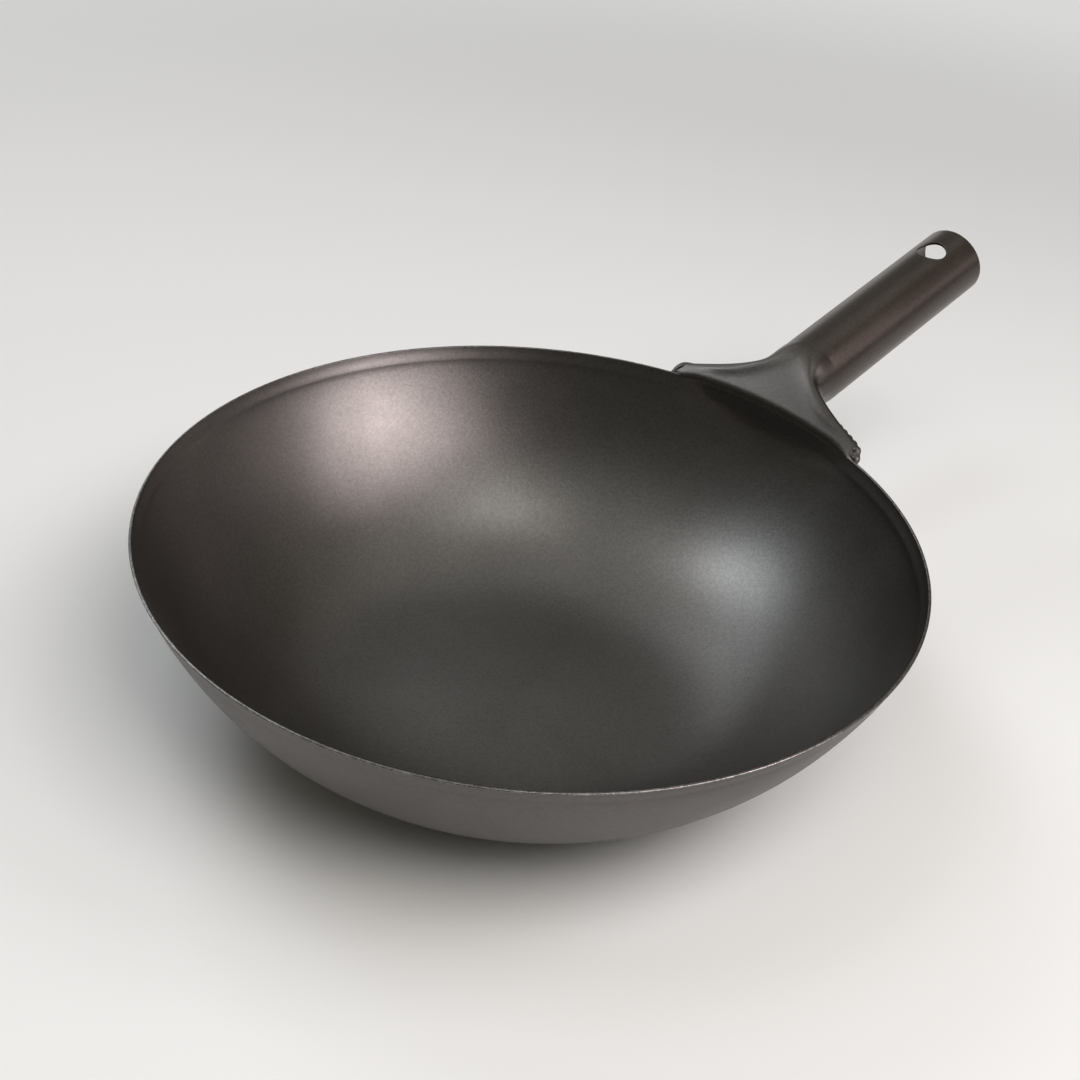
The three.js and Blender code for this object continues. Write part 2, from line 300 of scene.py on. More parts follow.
def bezier(points, steps):
    """Points of a curve, by mixing neighbouring control points until one is left."""
    share = np.linspace(0, 1, steps)[:, None]
    layers = [np.asarray(point, dtype=float) for point in points]
    while len(layers) > 1:
        layers = [a + (b - a) * share for a, b in zip(layers, layers[1:])]
    return layers[0]


def eased(path, softness):
    """A path of even points with its sudden bends eased; both ends stay where they are."""
    reach = int(3 * softness / PATH_STEP)
    weights = np.exp(-0.5 * (np.arange(-reach, reach + 1) * PATH_STEP / softness) ** 2)
    weights = weights / weights.sum()
    before = path[reach:0:-1] * np.array([-1, 1])
    after = 2 * path[-1] - path[-2:-reach - 2:-1]
    padded = np.vstack([before, path, after])
    return np.stack([np.convolve(column, weights, "valid") for column in padded.T], 1)


def outer_profile():
    heel = (BASE_RADIUS + HEEL_REACH, 0)
    wall = bezier([(BASE_RADIUS, 0), heel, NECK - WALL_REACH * STEEP, NECK], WALL_STEPS)
    lip = bezier([NECK, NECK + LIP_PULL * STEEP, RIM - RIM_PULL * STEEP, RIM], LIP_STEPS + 1)
    path = eased(even_path(np.vstack([[(0, 0)], wall]), PATH_STEP), HEEL_SOFTNESS)
    place = np.vstack([even_path(path, ROW_STEP), lip[1:]])[1:]
    way = np.gradient(place, axis=0)
    way = way / np.linalg.norm(way, axis=1)[:, None]
    outward = np.stack([way[:, 1], -way[:, 0]], 1)
    return place, outward


OUTER, OUTWARD = outer_profile()


def sheet_face(outward):
    face = OUTER + OUTWARD * outward
    face[-1] = (RIM_RADIUS + outward / OUTWARD[-1, 0], BOWL_HEIGHT)
    return face


SEAT_RADIUS = RIM_RADIUS - SEAT_SAG
TOE_TIP_REACH = math.sqrt(RIM_RADIUS ** 2 - TOE_HALF_WIDTH ** 2)
TOE_TIP_ANGLE = math.atan2(TOE_HALF_WIDTH, TOE_TIP_REACH)
PLATE_SLOPE = math.tan(math.radians(PLATE_ANGLE))
CREST_HEIGHT = BOWL_HEIGHT + PLATE_SLOPE * (SEAT_RADIUS - TOE_TIP_REACH)


def seat_face(y, height, outward):
    """How far out the hammered seat is: nearly flat, with a slight curve across."""
    lean = math.tan(math.radians(SEAT_LEAN)) * (height - BOWL_HEIGHT)
    return SEAT_RADIUS + outward + lean - y ** 2 / (2 * SEAT_CURVE)


def seated(radius, height, angle, outward, sink):
    """Moves points of the round bowl onto the hammered seat; outward is from the sheet's inner face."""
    y = radius * np.sin(angle)
    x = soft_min(radius * np.cos(angle), seat_face(y, height, outward), SEAT_SOFTNESS)
    behind = np.clip(1 - (y / SEAT_HALF_WIDTH) ** 2, 0, 1) * (x > 0)
    depth = GROOVE_DEPTH + (CREASE_DEPTH - GROOVE_DEPTH) * behind
    groove = depth * np.exp(-((height - GROOVE_HEIGHT + CREASE_DROP * behind) / GROOVE_WIDTH) ** 2)
    x = x - groove * np.cos(angle)
    y = y - groove * np.sin(angle)
    rise = soft_max(0, PLATE_SLOPE * (x - outward - TOE_TIP_REACH) - sink, CREST_SOFTNESS)
    drawn = np.clip(1 + (height - BOWL_HEIGHT) / SEAT_DEPTH, 0, 1)
    return np.stack([x, y, height + rise * drawn ** 2], -1)


OUTSIDE_ZONE, EDGE_ZONE, INSIDE_ZONE = range(3)


def bowl_rows():
    """Radius, height, place in the sheet and zone of each row, from outside over the rim to inside."""
    outside = sheet_face(0.0)
    inside = sheet_face(-BOWL_WALL)
    edge, back = rolled_edge(outside[-1, 0], inside[-1, 0], EDGE_ROUND, EDGE_STEPS)
    rows = [(r, h, BOWL_WALL, OUTSIDE_ZONE) for r, h in outside[:-1]]
    for i, (r, down) in enumerate(zip(edge, back)):
        rows.append((r, BOWL_HEIGHT - down, BOWL_WALL if i < EDGE_STEPS else 0.0, EDGE_ZONE))
    rows += [(r, h, 0.0, INSIDE_ZONE) for r, h in inside[:-1][::-1]]
    return rows


def bowl_zones(rows, angles):
    """Zone of each face between the rows; the edge under the handle's plate counts as inside."""
    zone = np.array([row[3] for row in rows])
    zone = np.where(zone[1:] == zone[:-1], zone[1:], EDGE_ZONE)[:, None]
    covered = np.minimum(angles, 2 * math.pi - angles) < TOE_TIP_ANGLE
    return np.where((zone == EDGE_ZONE) & covered, INSIDE_ZONE, zone).ravel().tolist()


def bowl_mesh():
    rows = bowl_rows()
    angles = np.linspace(0, 2 * math.pi, BOWL_SEGMENTS, endpoint=False)
    grid = np.array([seated(r, h, angles, out, CREST_SINK) for r, h, out, _ in rows])
    faces = grid_faces(len(rows), BOWL_SEGMENTS, True)
    zones = bowl_zones(rows, angles)
    points = np.vstack([grid.reshape(-1, 3), [[0, 0, 0], [0, 0, BOWL_WALL]]])
    below = len(points) - 2
    above = len(points) - 1
    last = (len(rows) - 1) * BOWL_SEGMENTS
    for i in range(BOWL_SEGMENTS):
        j = (i + 1) % BOWL_SEGMENTS
        faces.append((below, j, i))
        faces.append((above, last + i, last + j))
        zones += [OUTSIDE_ZONE, INSIDE_ZONE]
    return points, faces, zones


# Handle, in axes of its own: along the tube, across it and up from it

TILT = math.radians(HANDLE_TILT)
AXIS = np.array([math.cos(TILT), 0, math.sin(TILT)])
ACROSS = np.array([0, 1.0, 0])
UP = np.array([-math.sin(TILT), 0, math.cos(TILT)])
ORIGIN = np.array([RIM_RADIUS, 0, BOWL_HEIGHT + HANDLE_RISE])


def handle_point(along, across, up):
    along, across, up = np.broadcast_arrays(along, across, up)
    return ORIGIN + along[..., None] * AXIS + across[..., None] * ACROSS + up[..., None] * UP


def handle_place(x, z):
    """Along and up, in the handle's axes, of a place in the frame."""
    x = x - ORIGIN[0]
    z = z - ORIGIN[2]
    return x * AXIS[0] + z * AXIS[2], x * UP[0] + z * UP[2]


CREST_ALONG, CREST_UP = handle_place(SEAT_RADIUS, CREST_HEIGHT)
TOE_ALONG, _ = handle_place(TOE_TIP_REACH, BOWL_HEIGHT)
PLATE_CLIMB = math.tan(math.radians(PLATE_ANGLE - HANDLE_TILT))
PLATE_END = CREST_ALONG + (TUBE_RADIUS - CREST_UP) / PLATE_CLIMB
ROOT_END = PLATE_END + PLATE_BEND
ROOT_START = TOE_ALONG - PLATE_BEND
TUBE_START = ROOT_END + TUBE_LEAD
BORE_RADIUS = TUBE_RADIUS - HANDLE_WALL


def plate_height(along):
    level = soft_min(TUBE_RADIUS, CREST_UP + PLATE_CLIMB * (along - CREST_ALONG), PLATE_BEND / 2)
    return level + (TUBE_RADIUS - level) * smooth_step((along - PLATE_END) / (TUBE_START - PLATE_END))


def side_height(along):
    shoulder = soft_min(0, plate_height(along) - TOE_SHOULDER, PLATE_BEND / 4)
    return np.minimum(0, shoulder + PLATE_BEND / 8)


def root_half_width(along):
    """Half the root's width: it flares fast from the tube to the blunt toes."""
    flare = soft_max(0, FLARE_SLOPE * (FLARE_START - along), FLARE_SOFTNESS)
    fade = 1 - smooth_step((along - FLARE_START) / (TUBE_START - FLARE_START))
    return soft_min(TUBE_RADIUS + flare * fade, TOE_HALF_WIDTH + TOE_OVERHANG, TOE_SOFTNESS * fade)


def pressed(along):
    """How far the round tube is pressed into the folded plate, from none (0) to all (1)."""
    return smooth_step((ROUND_END - along) / (ROUND_END - ROUND_START))


def ridge_half_width(along, half):
    return np.clip(RIDGE_SPREAD * np.exp(-along / RIDGE_DECAY) - RIDGE_PINCH, 0, half - RIDGE_MARGIN)


def folded_height(along, across, half, top):
    """Height of the pressed plate: flat to its raised ridge, then rounded down to its edge."""
    side = np.minimum(side_height(along), top - TOE_SHOULDER / 2)
    ridge = ridge_half_width(along, half)
    roll = np.clip((across - ridge) / (half - ridge), 0, 1)
    fold = smooth_step((FOLD_END - along) / (FOLD_END - FOLD_START))
    fold = fold * smooth_step((along - CREST_ALONG) / FOLD_START)
    raised = FOLD_RAISE * fold * np.exp(-((across - ridge) / FOLD_WIDTH) ** 2)
    return side + (top - side + raised) * np.sqrt(1 - roll ** 2)


def handle_section(along, share, inward):
    """Across and up of the handle's outline, from the top (0) by one side (0.5) to the bottom (1)."""
    top = plate_height(along) - inward
    half = root_half_width(along) - inward
    bottom = -(TUBE_RADIUS - inward)
    turn = np.clip(2 * share, 0, 1)
    ridge = ridge_half_width(along, half)
    across = ridge * turn + (half - ridge) * np.sin(turn * math.pi / 2)
    up = folded_height(along, across, half, top)
    edge = folded_height(along, half, half, top)
    reach = np.cos(np.clip(2 * share - 1, 0, 1) * math.pi / 2)
    power = ROUND_CURVE + (UNDER_CURVE - ROUND_CURVE) * pressed(along)
    under = edge + (bottom - edge) * np.maximum(0, 1 - reach ** 2) ** power
    on_top = share < 0.5
    return np.where(on_top, across, half * reach), np.where(on_top, up, under)


def outer_wall_x(y, z):
    """How far out the bowl's outer face is, at a place across and up."""
    radius = np.interp(z, OUTER[:, 1], OUTER[:, 0])
    round_x = np.sqrt(np.maximum(0, radius ** 2 - y ** 2))
    return soft_min(round_x, seat_face(y, z, BOWL_WALL), SEAT_SOFTNESS)


SHARES = np.linspace(0, 1, HALF_COLUMNS + 1)
TRIM_HALVINGS = 40


def root_trim(inward):
    """Where each lengthwise line of the root meets the bowl's outer face."""
    low = np.full(len(SHARES), ROOT_START)
    high = np.full(len(SHARES), ROOT_END)
    for _ in range(TRIM_HALVINGS):
        middle = (low + high) / 2
        across, up = handle_section(middle, SHARES, inward)
        place = handle_point(middle, across, up)
        outside = place[:, 0] > outer_wall_x(place[:, 1], place[:, 2]) - ROOT_BITE
        high = np.where(outside, middle, high)
        low = np.where(outside, low, middle)
    return high


def full_turn(half_rows):
    """Mirrors rows of points from the top to the bottom into closed rings."""
    mirrored = half_rows[:, -2:0:-1] * np.array([1, -1, 1])
    return np.concatenate([half_rows, mirrored], axis=1)


def root_rows(inward):
    start = root_trim(inward)
    steps = np.linspace(0, 1, ROOT_ROWS) ** ROOT_CROWDING
    along = start[None, :] + (TUBE_START - start[None, :]) * steps[:, None]
    across, up = handle_section(along, np.broadcast_to(SHARES, along.shape), inward)
    return full_turn(handle_point(along, -across, up))


# Tube, with a square patch of rings round each end of the hang hole

HOLE_ALONG = HANDLE_LENGTH - HOLE_INSET
HOLE_SIDES = (0.0, math.pi)
PATCH_HALF = PATCH_COLUMNS / HALF_COLUMNS * math.pi * TUBE_RADIUS


def tube_point(along, angle, radius):
    return handle_point(along, -radius * np.sin(angle), radius * np.cos(angle))


def tube_grid(alongs, radius):
    angle = np.linspace(0, 2 * math.pi, COLUMNS, endpoint=False)
    return tube_point(np.asarray(alongs)[:, None], angle[None, :], radius)


def patch_square():
    """Points round a square from -1 to 1."""
    side = np.arange(-PATCH_COLUMNS, PATCH_COLUMNS) / PATCH_COLUMNS
    one = np.ones(len(side))
    edges = [(side, -one), (one, side), (-side, one), (-one, -side)]
    return np.concatenate([np.stack(edge, 1) for edge in edges])


def hole_patch(radius, centre_angle, hole_radius):
    """Rings of points from the hole's edge to a square on the tube."""
    square = patch_square()
    bearings = np.arctan2(square[:, 1], square[:, 0])
    hole_along = hole_radius * np.cos(bearings)
    hole_angle = np.arcsin(hole_radius * np.sin(bearings) / radius)
    edge_along = square[:, 0] * PATCH_HALF
    edge_angle = square[:, 1] * PATCH_HALF / TUBE_RADIUS
    rings = []
    for share in np.linspace(0, 1, PATCH_RINGS):
        along = HOLE_ALONG + hole_along + (edge_along - hole_along) * share
        angle = centre_angle + hole_angle + (edge_angle - hole_angle) * share
        rings.append(tube_point(along, angle, radius))
    return rings


def outside_patches(face):
    """Whether a face of the tube beside the hole is clear of both patches."""
    column = face[0] % COLUMNS
    at_top = column < PATCH_COLUMNS or column >= COLUMNS - PATCH_COLUMNS
    at_bottom = HALF_COLUMNS - PATCH_COLUMNS <= column < HALF_COLUMNS + PATCH_COLUMNS
    return not (at_top or at_bottom)


def tube_skin(radius):
    """One face of the tube, short of the rounded edges at its end and its hole."""
    patch_start = HOLE_ALONG - PATCH_HALF
    patch_end = HOLE_ALONG + PATCH_HALF
    before = np.linspace(TUBE_START, patch_start, TUBE_ROWS)
    beside = np.linspace(patch_start, patch_end, 2 * PATCH_COLUMNS + 1)
    after = np.linspace(patch_end, HANDLE_LENGTH - END_ROUND, TUBE_END_ROWS)
    parts = [ring_part(tube_grid(alongs, radius)) for alongs in (before, after)]
    grid, faces = ring_part(tube_grid(beside, radius))
    parts.append((grid, [face for face in faces if outside_patches(face)]))
    for centre_angle in HOLE_SIDES:
        parts.append(ring_part(hole_patch(radius, centre_angle, HOLE_RADIUS + END_ROUND)))
    return parts


def handle_mesh():
    parts = [ring_part(root_rows(inward)) for inward in (0.0, HANDLE_WALL)]
    parts += tube_skin(TUBE_RADIUS)
    parts += tube_skin(BORE_RADIUS)
    radii, back = rolled_edge(TUBE_RADIUS, BORE_RADIUS, END_ROUND, END_STEPS)
    end = [tube_grid([HANDLE_LENGTH - b], radius)[0] for radius, b in zip(radii, back)]
    parts.append(ring_part(end))
    for centre_angle in HOLE_SIDES:
        hole = [hole_patch(radius, centre_angle, HOLE_RADIUS + b)[0] for radius, b in zip(radii, back)]
        parts.append(ring_part(hole))
    return joined(parts)


# Welds

PLATE_TRIES = 30
PLATE_TRY_GAIN = 0.8


def plate_top(x, y):
    """Height of the root's plate over a place in plan, by drawing nearer to it."""
    z = np.full_like(x, CREST_HEIGHT)
    for _ in range(PLATE_TRIES):
        along, up = handle_place(x, z)
        half = root_half_width(along)
        goal = folded_height(along, np.minimum(np.abs(y), half), half, plate_height(along))
        z = z + (goal - up) * PLATE_TRY_GAIN
    return z


def rim_weld_mesh():
    """The dressed bead: a rounded crest from the bowl's inner wall over onto the plate."""
    angles = np.linspace(-TOE_TIP_ANGLE, TOE_TIP_ANGLE, RIM_BEAD_STEPS)
    none = np.zeros_like(angles)
    away = np.stack([np.cos(angles), np.sin(angles), none], -1)
    inside = sheet_face(-BOWL_WALL)
    wall_rows = []
    for r, h in inside[RIM_BEAD_WALL_ROWS]:
        wall_rows.append(seated(r + none, h + none, angles, 0.0, 0.0) - RIM_BEAD_LIFT * away)
    edge = seated(inside[-1, 0] + none, BOWL_HEIGHT + none, angles, 0.0, 0.0)
    outward = np.stack([1 + none, RIM_BEAD_SPREAD * np.sin(angles), none], -1)
    plate_rows = []
    for reach in RIM_BEAD_REACHES:
        place = edge + outward * reach
        place[:, 2] = plate_top(place[:, 0], place[:, 1]) + RIM_BEAD_LIFT
        plate_rows.append(place)
    start = wall_rows[-1]
    finish = plate_rows[0]
    arc = []
    for t in np.linspace(0, 1, RIM_BEAD_ARC_STEPS)[1:-1]:
        arc.append((1 - t) ** 2 * start + 2 * (1 - t) * t * edge + t ** 2 * finish)
    rows = np.array(wall_rows + arc + plate_rows)
    points, faces = joined([(rows, grid_faces(len(rows), RIM_BEAD_STEPS, False))])
    on_plate = np.arange(len(rows) - 1) >= len(wall_rows)
    return points, faces, np.repeat(on_plate, RIM_BEAD_STEPS - 1)


def bead_mesh(path, radius_at, sides, wobble, seed):
    """A closed bead along a path; its radius depends on the way travelled and the whole length."""
    ahead = np.gradient(path, axis=0)
    ahead = ahead / np.linalg.norm(ahead, axis=1)[:, None]
    travelled = travelled_along(path)
    rings = []
    for i, place in enumerate(path):
        side = np.cross(ahead[i], (0, 0, 1.0))
        side = side / np.linalg.norm(side)
        over = np.cross(side, ahead[i])
        radius = radius_at(travelled[i], travelled[-1])
        ring = []
        for k in range(sides):
            turn = 2 * math.pi * k / sides
            out = side * math.cos(turn) + over * math.sin(turn)
            spot = place + out * radius
            shift = noise.noise(Vector((spot * WOBBLES_PER_MM + seed).tolist()))
            ring.append(spot + out * wobble * shift)
        rings.append(ring)
    rings = np.array(rings)
    rings[..., 0] = np.maximum(rings[..., 0], outer_wall_x(rings[..., 1], rings[..., 2]) - BEAD_BITE)
    points, faces = joined([ring_part(rings)])
    faces.append(tuple(range(sides))[::-1])
    faces.append(tuple(range(len(points) - sides, len(points))))
    return points, faces


def rounded_ends(travelled, length, reach):
    from_end = min(1, min(travelled, length - travelled) / reach)
    return math.sqrt(max(BEAD_END_LEAST, 1 - (1 - from_end) ** 2))


def rippled(travelled, height, pace):
    return 1 + height * abs(math.sin(travelled * pace))


def toe_edge(side):
    """Middle line of a toe's bead: from the bowl's rim onto the plate's edge."""
    start = root_trim(0.0)[HALF_COLUMNS // 2]
    along = np.linspace(start, TOE_WELD_REACH, TOE_EDGE_STEPS)
    across = side * (root_half_width(along) - TOE_BEAD_INSET)
    edge = handle_point(along, across, side_height(along) - TOE_BEAD_SINK)
    x, y, z = edge[0]
    run = np.linspace(TOE_BEAD_RUN[side] / RIM_RADIUS, 0, TOE_RUN_STEPS, endpoint=False)
    beyond = math.atan2(abs(y), x) + run
    reach = math.hypot(x, y)
    rim = np.stack([reach * np.cos(beyond), side * reach * np.sin(beyond), np.full_like(beyond, z)], 1)
    return np.vstack([rim, edge])


def toe_weld_mesh(side):
    def radius(travelled, length):
        lump = math.sin(math.pi * travelled / TOE_LUMP[side]) ** 2
        lumpy = TOE_LUMP_LEAST + TOE_LUMP_GAIN * lump
        return TOE_BEAD_RADIUS * lumpy * rounded_ends(travelled, length, TOE_BEAD_END)

    seed = 7.0 + side
    return bead_mesh(evenly(toe_edge(side), TOE_BEAD_STEPS), radius, TOE_BEAD_SIDES, TOE_BEAD_WOBBLE, seed)


def root_weld_mesh():
    def radius(travelled, length):
        ripple = rippled(travelled, ROOT_BEAD_RIPPLE, ROOT_BEAD_PACE)
        return ROOT_BEAD_RADIUS * ripple * rounded_ends(travelled, length, ROOT_BEAD_END)

    quarter = HALF_COLUMNS // 2
    lower_edge = root_rows(0.0)[0][quarter + 2:COLUMNS - quarter - 1]
    seed = 3.0
    return bead_mesh(evenly(lower_edge, ROOT_BEAD_STEPS), radius, ROOT_BEAD_SIDES, ROOT_BEAD_WOBBLE, seed)


def seam_weld_mesh(start, end):
    def radius(travelled, length):
        ripple = rippled(travelled, SEAM_BEAD_RIPPLE, SEAM_BEAD_PACE)
        return SEAM_BEAD_RADIUS * ripple * rounded_ends(travelled, length, SEAM_BEAD_END)

    count = int((end - start) * SEAM_STEPS_PER_MM)
    path = handle_point(np.linspace(start, end, count), 0.0, SEAM_BEAD_SINK - TUBE_RADIUS)
    seed = 11.0
    return bead_mesh(path, radius, SEAM_BEAD_SIDES, SEAM_BEAD_WOBBLE, seed)


# Materials; places and sizes in them are in metres

ROOT_GREY_ENDS = 0.176
TUBE_BROWN_STARTS = 0.192
NOISE_LOW, NOISE_HIGH = 0.3, 0.7
CLOUD_SCALE = 14.0
CLOUD_TINT = 0.06
GRAIN_SCALE = 800.0
GRAIN_CURL = 1.2
GRAIN_FLECK = 0.1
GRAIN_BUMP = 0.3
GRAIN_HEIGHT = 0.00012
SHEEN_SCALE = 45.0
SHEEN_CHANGE = 0.012


class Nodes:
    """A small helper that adds shader nodes and links to a material."""

    def __init__(self, name):
        self.material = bpy.data.materials.new(name)
        self.material.use_nodes = True
        self.tree = self.material.node_tree
        self.shader = self.tree.nodes["Principled BSDF"]

    def add(self, kind, settings=None, **sockets):
        node = self.tree.nodes.new(kind)
        for key, value in (settings or {}).items():
            setattr(node, key, value)
        for key, value in sockets.items():
            self.put(node.inputs[key.replace("_", " ")], value)
        return node

    def put(self, socket, value):
        if isinstance(value, bpy.types.NodeSocket):
            self.tree.links.new(value, socket)
        else:
            socket.default_value = value

    def place(self):
        return self.add("ShaderNodeTexCoord").outputs["Object"]

    def noise(self, scale, detail, roughness=0.5, curl=0.0):
        node = self.add("ShaderNodeTexNoise", Vector=self.place(), Scale=scale, Detail=detail,
                        Roughness=roughness, Distortion=curl)
        return node.outputs["Fac"]

    def ramp(self, value, low, high, out_low, out_high):
        node = self.add("ShaderNodeMapRange", {"interpolation_type": "SMOOTHSTEP"}, Value=value,
                        From_Min=low, From_Max=high, To_Min=out_low, To_Max=out_high)
        return node.outputs["Result"]

    def spread(self, value, middle, change):
        """Noise spread out to a change either way from a middle value."""
        return self.ramp(value, NOISE_LOW, NOISE_HIGH, middle - change, middle + change)

    def combine(self, operation, a, b):
        node = self.add("ShaderNodeMath", {"operation": operation})
        self.put(node.inputs[0], a)
        self.put(node.inputs[1], b)
        return node.outputs["Value"]

    def scaled(self, colour, factor):
        node = self.add("ShaderNodeVectorMath", {"operation": "SCALE"}, Scale=factor)
        self.put(node.inputs[0], colour)
        return node.outputs["Vector"]

    def mix(self, share, a, b):
        node = self.add("ShaderNodeMix", {"data_type": "RGBA"})
        self.put(node.inputs["Factor"], share)
        self.put(node.inputs["A"], a)
        self.put(node.inputs["B"], b)
        return node.outputs["Result"]

    def bump(self, height, strength, distance):
        node = self.add("ShaderNodeBump", Strength=strength, Distance=distance, Height=height)
        return node.outputs["Normal"]

    def set(self, **sockets):
        for key, value in sockets.items():
            self.put(self.shader.inputs[key.replace("_", " ")], value)


def titanium(name, colour, roughness, grain=GRAIN_SCALE, tint=CLOUD_TINT, fleck=GRAIN_FLECK, root=None):
    """Blasted sheet: even colour with faint clouds, and a fine worm-like grain."""
    nodes = Nodes(name)
    if root is not None:
        x = nodes.add("ShaderNodeSeparateXYZ", Vector=nodes.place()).outputs["X"]
        share = nodes.ramp(x, ROOT_GREY_ENDS, TUBE_BROWN_STARTS, 0.0, 1.0)
        colour = nodes.mix(share, (*root, 1), (*colour, 1))
    clouds = nodes.spread(nodes.noise(CLOUD_SCALE, 3.0), 1, tint)
    worms = nodes.noise(grain, 1.0, 0.4, GRAIN_CURL)
    shade = nodes.combine("MULTIPLY", clouds, nodes.spread(worms, 1, fleck))
    nodes.set(Base_Color=nodes.scaled(colour, shade))
    nodes.set(Metallic=1.0)
    nodes.set(Roughness=nodes.spread(nodes.noise(SHEEN_SCALE, 2.0), roughness, SHEEN_CHANGE))
    nodes.set(Normal=nodes.bump(worms, GRAIN_BUMP, GRAIN_HEIGHT))
    return nodes.material


INSIDE = titanium("blasted titanium inside", (0.128, 0.121, 0.114), 0.36)
OUTSIDE = titanium("blasted titanium outside", (0.115, 0.106, 0.100), 0.46)
CUT_EDGE = titanium("cut rim edge", (0.17, 0.162, 0.155), 0.28, grain=600.0, tint=0.2, fleck=0.35)
HANDLE = titanium("brown oxide handle", (0.083, 0.070, 0.062), 0.33, root=(0.085, 0.079, 0.073))
WELD = titanium("weld bead", (0.09, 0.085, 0.08), 0.42, grain=900.0)


# Pieces

def add_sheets():
    points, faces, zones = bowl_mesh()
    add_piece("bowl_sheet", points, faces, "bowl", "bowl_titanium", [OUTSIDE, CUT_EDGE, INSIDE],
              merge=False, material_index=zones, sharp=BOWL_SHARP)
    add_piece("handle_sheet", *handle_mesh(), "handle_shell", "handle_titanium", [HANDLE])


def add_rim_bead():
    points, faces, on_plate = rim_weld_mesh()
    add_piece("rim_bead", points, faces, "rim_weld", "bowl_titanium", [INSIDE, HANDLE],
              material_index=on_plate)


def add_bead(name, mesh, node):
    add_piece(name, *mesh, node, "weld_titanium", [WELD], sharp=BEAD_SHARP)


add_sheets()
add_rim_bead()
add_bead("left_toe_bead", toe_weld_mesh(LEFT), "left_toe_weld")
add_bead("right_toe_bead", toe_weld_mesh(RIGHT), "right_toe_weld")
add_bead("root_bead", root_weld_mesh(), "root_weld")
seam_gap = HOLE_RADIUS + SEAM_HOLE_GAP
seam_end = HANDLE_LENGTH - SEAM_END_GAP
add_bead("seam_bead", seam_weld_mesh(SEAM_START, HOLE_ALONG - seam_gap), "seam_weld")
add_bead("seam_end_bead", seam_weld_mesh(HOLE_ALONG + seam_gap, seam_end), "seam_end_weld")


# Stage, in metres and degrees

CAMERA_PLACE = Vector((-0.425463, -0.369588, 0.450697))
CAMERA_HEADING = 40.696
CAMERA_PITCH = -33.161
CAMERA_ROLL = 5.893
SENSOR_WIDTH = 36.0
PICTURE_WIDTH = 1080
FOCAL_PIXELS = 1600
CLIP_NEAR, CLIP_FAR = 0.01, 50

FLOOR_PALE = (0.69, 0.69, 0.68)
FLOOR_HALF = 6.0
FLOOR_DROP = 0.0003
FLOOR_GLOW_STARTS, FLOOR_GLOW_FULL = 0.6, 1.5
STAGE_TINTS = (0.80, 0.80, 0.795, 1), (0.82, 0.82, 0.815, 1)
STAGE_TINT_SCALE = 1.5
WHITE = (1.0, 1.0, 1.0)
SCREEN_BEARINGS = range(-50, 21, 5)
SCREEN_DISTANCE = 2.4
SCREEN_HEIGHT = 0.9
LAMP_AIM = Vector((0, 0, 0.05))
FLOOR_LAMP_DISTANCE = 1.6
FLOOR_LAMP_SIZE = (0.7, 0.7)
WORLD_FILL = (0.127, 0.125, 0.104)


def stage_paint(name):
    """Pale paint with a faint change of tint."""
    nodes = Nodes(name)
    nodes.set(Base_Color=nodes.mix(nodes.noise(STAGE_TINT_SCALE, 2.0), *STAGE_TINTS))
    return nodes


def seen_directly(nodes):
    """One for what the camera sees and for what shows in the metal, otherwise none."""
    path = nodes.add("ShaderNodeLightPath").outputs
    return nodes.combine("MAXIMUM", path["Is Camera Ray"], path["Is Glossy Ray"])


def shine(nodes, share, colour, strength):
    """Mixes a plain glow into a material."""
    glow = nodes.add("ShaderNodeEmission", Color=(*colour, 1), Strength=strength)
    mixed = nodes.add("ShaderNodeMixShader", Fac=share)
    nodes.put(mixed.inputs[1], nodes.shader.outputs["BSDF"])
    nodes.put(mixed.inputs[2], glow.outputs["Emission"])
    nodes.put(nodes.tree.nodes["Material Output"].inputs["Surface"], mixed.outputs["Shader"])


def add_stage(name, points, faces, material):
    mesh = bpy.data.meshes.new(name)
    mesh.from_pydata(points, [], faces)
    mesh.materials.append(material)
    piece = bpy.data.objects.new(name, mesh)
    bpy.context.collection.objects.link(piece)
    return piece


def add_floor():
    """A pale floor that stays pale in the distance, away from the lamps."""
    nodes = stage_paint("pale floor")
    nodes.set(Roughness=0.8)
    nodes.set(Specular_IOR_Level=0.1)
    distance = nodes.add("ShaderNodeVectorMath", {"operation": "LENGTH"})
    nodes.put(distance.inputs[0], nodes.place())
    far = nodes.ramp(distance.outputs["Value"], FLOOR_GLOW_STARTS, FLOOR_GLOW_FULL, 0.0, 1.0)
    shine(nodes, nodes.combine("MULTIPLY", far, seen_directly(nodes)), FLOOR_PALE, 1.0)
    signs = [(-1, -1), (1, -1), (1, 1), (-1, 1)]
    corners = [(x * FLOOR_HALF, y * FLOOR_HALF, -FLOOR_DROP) for x, y in signs]
    return add_stage("floor", corners, [(0, 1, 2, 3)], nodes.material)


def bearing(azimuth, elevation):
    """A direction from the bowl, turned from the way the camera looks (right is positive) and raised."""
    turn = math.radians(CAMERA_HEADING - azimuth)
    raised = math.radians(elevation)
    return Vector((math.cos(turn) * math.cos(raised), math.sin(turn) * math.cos(raised), math.sin(raised)))


def add_backdrop():
    """A low screen behind: white where it shows in the handle, and as pale as the floor elsewhere."""
    nodes = stage_paint("white screen")
    glossy = nodes.add("ShaderNodeLightPath").outputs["Is Glossy Ray"]
    strength = nodes.ramp(glossy, 0.0, 1.0, FLOOR_PALE[0], 1.0)
    shine(nodes, seen_directly(nodes), WHITE, strength)
    points = []
    for azimuth in SCREEN_BEARINGS:
        foot = bearing(azimuth, 0) * SCREEN_DISTANCE
        points += [(foot.x, foot.y, 0.0), (foot.x, foot.y, SCREEN_HEIGHT)]
    faces = [(i, i + 2, i + 3, i + 1) for i in range(0, len(points) - 2, 2)]
    add_stage("backdrop", points, faces, nodes.material)


